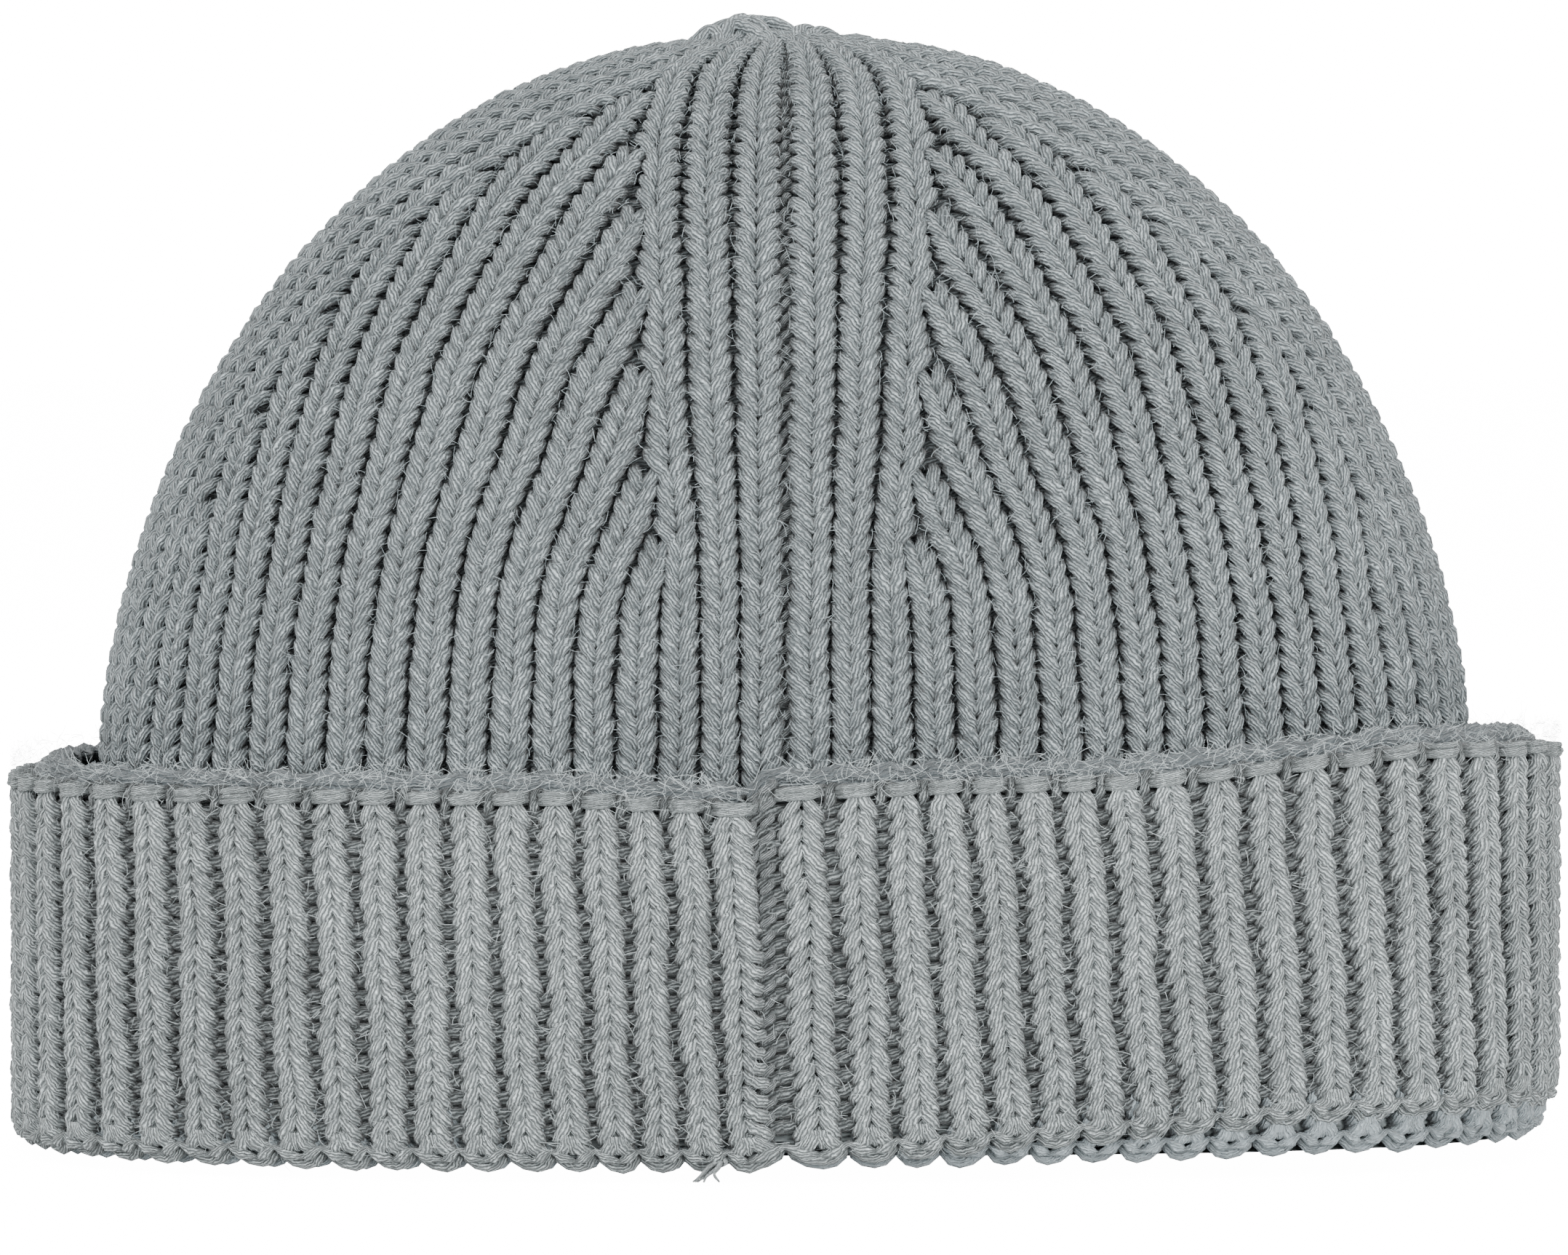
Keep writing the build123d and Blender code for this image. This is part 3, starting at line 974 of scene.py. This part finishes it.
def make_hairs(name, fabric, courses, count, material, on_ribs=True):
    """Loose fibres that stand off the yarn and cross the grooves, by the cuff's ribs or anywhere round."""
    ribs = rng.integers(0, RIBS, count)
    at = rng.uniform(*courses, count)
    place = CUFF_RIB_PLACES[ribs] if on_ribs else rng.uniform(0, 1, count)
    place = place + rng.normal(0, HAIR_SCATTER, count)
    share = np.linspace(0, 1, HAIR_STEPS)
    turn = rng.uniform(0, 2 * np.pi, count)[:, None]
    reach = rng.uniform(*HAIR_REACH, count)[:, None] * share[None]
    bend = rng.normal(0, HAIR_BEND, count)[:, None] * share[None] ** 2
    across = reach * np.cos(turn) - bend * np.sin(turn)
    along = reach * np.sin(turn) + bend * np.cos(turn)
    root = rng.uniform(*HAIR_ROOT, count)[:, None]
    rise = rng.uniform(*HAIR_RISE, count)[:, None]
    out = (root + rise * share[None] * (1.4 - share[None])) * MM
    places = place[:, None] + across / HAIR_GIRTH
    ats = np.clip(at[:, None] + along / HAIR_COURSE, fabric.courses[0], fabric.courses[-1])
    path = fabric.point(places, ats, out)
    width = rng.uniform(*HAIR_WIDTH, count)[:, None, None] * MM
    tangent = np.gradient(path, axis=1)
    outwards = directions(fabric, places, ats, out)[2]
    side = np.cross(tangent, outwards)
    side /= np.maximum(np.linalg.norm(side, axis=-1, keepdims=True), 1e-12)
    points = np.stack([path - side * width, path + side * width], axis=2)
    k = np.arange(count)[:, None] * HAIR_STEPS * 2
    i = np.arange(HAIR_STEPS - 1)[None] * 2
    quads = np.stack([k + i, k + i + 1, k + i + 3, k + i + 2], -1).reshape(-1, 4)
    return make_mesh(name, points.reshape(-1, 3), quads, material)


def hair_material(name, colour):
    made = Shading(name)
    made.shader.inputs["Roughness"].default_value = 0.75
    place = made.nodes.new("ShaderNodeTexCoord").outputs["Object"]
    share = made.remap(made.noise(place, 900, 2.0), 0.35, 0.65, 0.0, 1.0)
    mixed = made.mix("MIX", share, shade(colour, 0.7), shade(colour, 1.3))
    made.links.new(mixed, made.shader.inputs["Base Color"])
    return made.material


def skin_material(name, colour):
    """The ground between the stitches, coloured as painted shade: dark, with the rows of yarn faint in it."""
    made = Shading(name)
    made.shader.inputs["Roughness"].default_value = 0.95
    made.shader.inputs["Specular IOR Level"].default_value = 0.1
    across, up = made.yarn_map()
    place = made.nodes.new("ShaderNodeTexCoord").outputs["Object"]
    waver = made.math("MULTIPLY", made.noise(place, 300, 2.0), 2.5)
    rib = made.math("COSINE", made.math("MULTIPLY_ADD", across, 2 * math.pi, waver))
    row = made.math("COSINE", made.math("MULTIPLY_ADD", up, 2 * math.pi, waver))
    weave = made.math("MULTIPLY_ADD", made.math("MULTIPLY", rib, row), 0.5, 0.5)
    # painted shade: the ground is painted at a third to three quarters of the yarn's colour, lighter along
    # its rows
    made.links.new(made.mix("MIX", weave, shade(colour, 0.35), shade(colour, 0.75)),
                   made.shader.inputs["Base Color"])
    ribbed = made.bump(weave, 0.5 * MM, 1.0)
    fibrous = made.bump(made.noise(place, 3000, 3.0), 0.12 * MM, 0.8, ribbed)
    made.links.new(fibrous, made.shader.inputs["Normal"])
    return made.material


rib_skin_shade = skin_material("rib_skin_shade", RIB_COLOUR)
cuff_skin_shade = skin_material("cuff_skin_shade", CUFF_COLOUR)
rib_hair = hair_material("rib_hair", RIB_COLOUR)
cuff_hair = hair_material("cuff_hair", CUFF_COLOUR)


def fasten(pieces, body):
    for piece in pieces:
        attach(piece, body)


fold_joint = next(j for j in frame["joints"] if j["name"] == "fold_travel")
TRAVEL = max(fold_joint["range_m"])

body_fabric = make_body_fabric()
cuff_fabric = make_cuff_fabric()
ridge_fabric = make_ridge_fabric()

# The body and crown
body_pieces = knit_body(body_fabric)
body_courses = (-2, DOME_COURSES + 3)
body_pieces.append(make_hairs("rib_hairs", body_fabric, body_courses, 24000, rib_hair, on_ribs=False))
body_ground = make_skin("body_ground", body_fabric, -WALL_COURSES, DOME_COURSES + 3, BODY_GROUND, rib_skin_shade)
knots = make_knots(np.array((0, 0, dome_base + dome_rise * CROWN_CUT + GATHER_RISE)))
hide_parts("body_wall", "crown_sides", "crown_top")
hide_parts("crown_gather")
fasten([*body_pieces, body_ground, knots], "hat")

# The turned-up layer, which shortens as it turns down round the fold
cuff_pieces = knit_cuff(cuff_fabric)
cuff_pieces.append(make_hairs("cuff_hairs", cuff_fabric, (0, CUFF_COURSES + 1.5), 9000, cuff_hair))
cuff_ground = make_skin("cuff_ground", cuff_fabric, 0, CUFF_COURSES + 1.5, CUFF_GROUND, cuff_skin_shade)
seam_side = SEAM_HALF / CUFF_GIRTH
seam_places = (CUFF_SEAM - seam_side, CUFF_SEAM + seam_side)
seam_courses = (-0.5, CUFF_COURSES + 2)
cuff_coil = coil_seam("cuff_seam", cuff_fabric, seam_places, seam_courses, depth=-0.5, radius=0.75)
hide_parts("cuff")
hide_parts("back_seam_cuff")
fasten([*cuff_pieces, cuff_ground], "hat")
fasten([cuff_coil], "hat")

# The edge and the fold
edge_pieces = knit_edge(cuff_fabric)
edge_courses = (CUFF_COURSES + 1.5, CUFF_COURSES + 3)
edge_pieces.append(make_hairs("edge_hairs", cuff_fabric, edge_courses, 3500, cuff_hair))
fold_pieces = knit_fold(cuff_fabric, ridge_fabric)
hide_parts("cast_on_edge")
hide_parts("fold_ridge")
fasten(edge_pieces, "cuff_edge")
fasten(fold_pieces, "fold")

# Seams, thread and tail
body_coil = coil_seam("body_seam", body_fabric, (0.0,), (-WALL_COURSES, DOME_COURSES), depth=-1.9, radius=0.9)
thread = make_thread()
tail = make_tail()
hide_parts("back_seam_body")
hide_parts("crown_draw_thread")
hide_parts("seam_yarn_tail")
fasten([body_coil, thread, tail], "hat")

# What comes out of the fold
turned_pieces = knit_turned_wall(TRAVEL)
for piece in turned_pieces:
    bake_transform(piece)

for piece in (*cuff_pieces, cuff_ground, cuff_coil):
    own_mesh(piece)


# The setting: a pale floor, soft light and the camera

FLOOR_HALF = 6.0
FLOOR_GLOW, WORLD_GLOW = 15.0, 16.0
WORLD_LIGHT = 1.1
# Each light's name, place, target, size and power
LIGHTS = (("key", (-0.5, -1.1, 1.0), (0, 0, 0.08), 0.9, 20),
          ("fill", (0.7, -1.15, 0.15), (0, 0, 0.02), 0.8, 16),
          ("back", (0.5, 1.2, 0.9), (0, 0, 0.08), 1.0, 16))
FRAME_WIDTH = 233.2 * MM  # what the camera shows across at the hat
CAMERA_DISTANCE = 1.5
CAMERA_RISE = math.radians(2.5)
CAMERA_TARGET = Vector((-0.2 * MM, 0, 77.3 * MM))
SENSOR_WIDTH = 36


def shown_brighter(tree, surface, strength):
    """Adds a white glow that only the camera sees, and that lights nothing."""
    nodes, links = tree.nodes, tree.links
    glow = nodes.new("ShaderNodeEmission")
    glow.inputs["Strength"].default_value = strength
    dark = nodes.new("ShaderNodeEmission")
    dark.inputs["Strength"].default_value = 0
    seen = nodes.new("ShaderNodeMixShader")
    links.new(nodes.new("ShaderNodeLightPath").outputs["Is Camera Ray"], seen.inputs["Fac"])
    links.new(dark.outputs[0], seen.inputs[1])
    links.new(glow.outputs[0], seen.inputs[2])
    both = nodes.new("ShaderNodeAddShader")
    links.new(surface, both.inputs[0])
    links.new(seen.outputs[0], both.inputs[1])
    return both.outputs[0]


def make_floor():
    points = np.array([(-1, -1, 0), (1, -1, 0), (1, 1, 0), (-1, 1, 0)]) * FLOOR_HALF
    mat = bpy.data.materials.new("floor")
    mat.use_nodes = True
    nodes, links = mat.node_tree.nodes, mat.node_tree.links
    shader = nodes["Principled BSDF"]
    shader.inputs["Base Color"].default_value = (0.9, 0.9, 0.9, 1)
    shader.inputs["Roughness"].default_value = 0.9
    both = shown_brighter(mat.node_tree, shader.outputs[0], FLOOR_GLOW)
    links.new(both, nodes["Material Output"].inputs["Surface"])
    floor = make_mesh("floor", points, np.array([[0, 1, 2, 3]]), mat)
    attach(floor, "fold")  # the hat stands on its fold, so the floor goes down with it


def make_light(name, place, target, size, power):
    data = bpy.data.lights.new(name, "AREA")
    data.shape = "DISK"
    data.size = size
    data.energy = power
    light = bpy.data.objects.new(name, data)
    bpy.context.scene.collection.objects.link(light)
    light.location = place
    light.rotation_mode = "QUATERNION"
    light.rotation_quaternion = (Vector(target) - Vector(place)).to_track_quat("-Z", "Y")


def make_world():
    world = bpy.data.worlds.new("studio")
    world.use_nodes = True
    nodes, links = world.node_tree.nodes, world.node_tree.links
    background = nodes["Background"]
    background.inputs["Color"].default_value = (1, 1, 1, 1)
    background.inputs["Strength"].default_value = WORLD_LIGHT
    both = shown_brighter(world.node_tree, background.outputs[0], WORLD_GLOW)
    links.new(both, nodes["World Output"].inputs["Surface"])
    bpy.context.scene.world = world


def make_camera():
    """The camera looks straight at the hat's back, from a little above."""
    data = bpy.data.cameras.new("camera")
    data.sensor_width = SENSOR_WIDTH
    data.lens = SENSOR_WIDTH * CAMERA_DISTANCE / FRAME_WIDTH
    data.clip_end = 50
    camera = bpy.data.objects.new("camera", data)
    bpy.context.scene.collection.objects.link(camera)
    back_off = Vector((0, -math.cos(CAMERA_RISE), math.sin(CAMERA_RISE)))
    camera.location = CAMERA_TARGET + CAMERA_DISTANCE * back_off
    camera.rotation_mode = "QUATERNION"
    camera.rotation_quaternion = (CAMERA_TARGET - camera.location).to_track_quat("-Z", "Y")
    bpy.context.scene.camera = camera


make_floor()
make_world()
for light in LIGHTS:
    make_light(*light)
make_camera()
